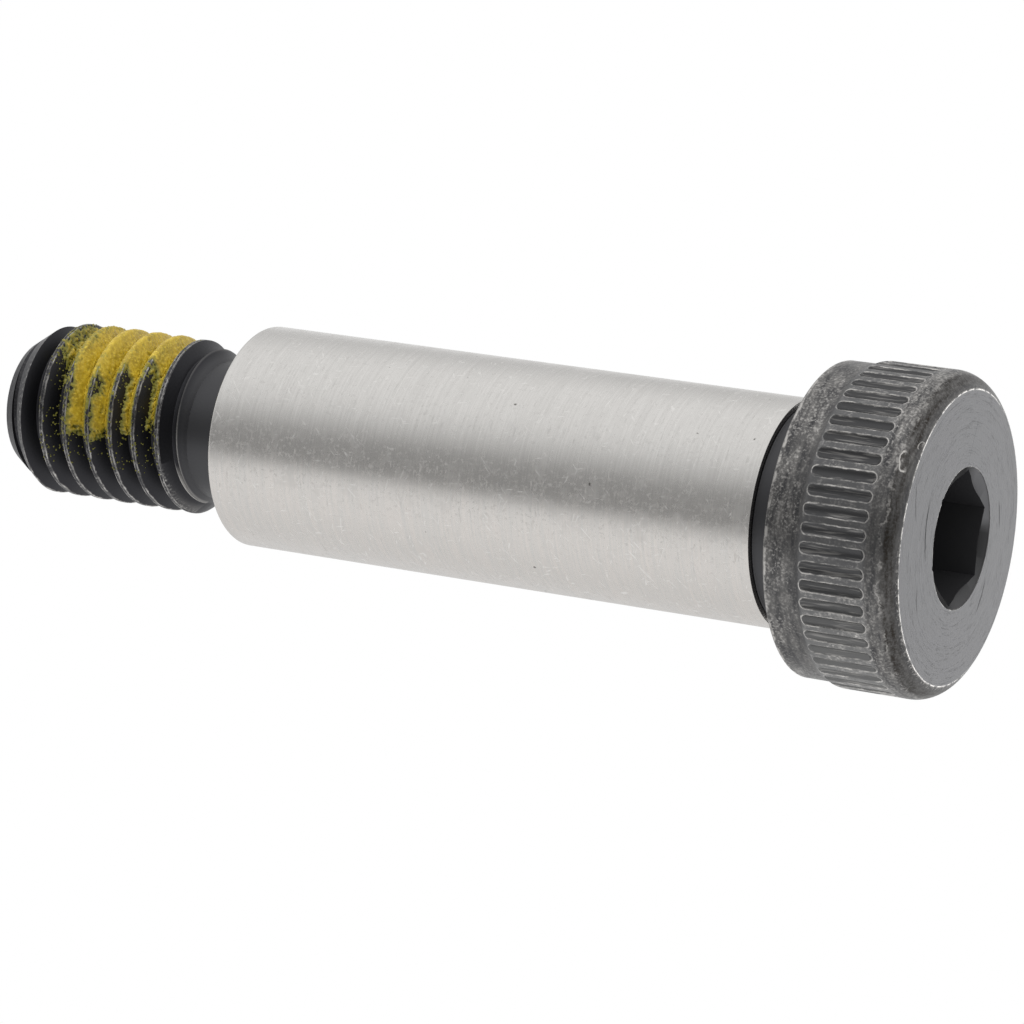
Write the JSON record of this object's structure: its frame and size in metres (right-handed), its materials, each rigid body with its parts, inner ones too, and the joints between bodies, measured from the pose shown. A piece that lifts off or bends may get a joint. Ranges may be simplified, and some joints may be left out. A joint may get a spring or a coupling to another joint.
{
  "type": "shoulder bolt",
  "caption": "Socket head shoulder bolt: knurled head, ground shoulder that acts as a pivot or locating pin, and a coarse threaded end with a nylon locking patch.",
  "frame": {"origin": "centre of the head's flat front face, which the bolt stands on", "axes": "+Z along the bolt's axis from the head to the threaded tip, +X towards a corner of the hexagon socket"},
  "size_m": [0.0222, 0.0222, 0.0729],
  "materials": {
    "steel": "black oxide on the head and thread, ground bright on the shoulder",
    "nylon": "matt yellow, sprayed on and fused"
  },
  "bodies": {
    "root": {"shoulder_bolt": "steel", "lock_patch": "nylon"}
  },
  "joints": []
}
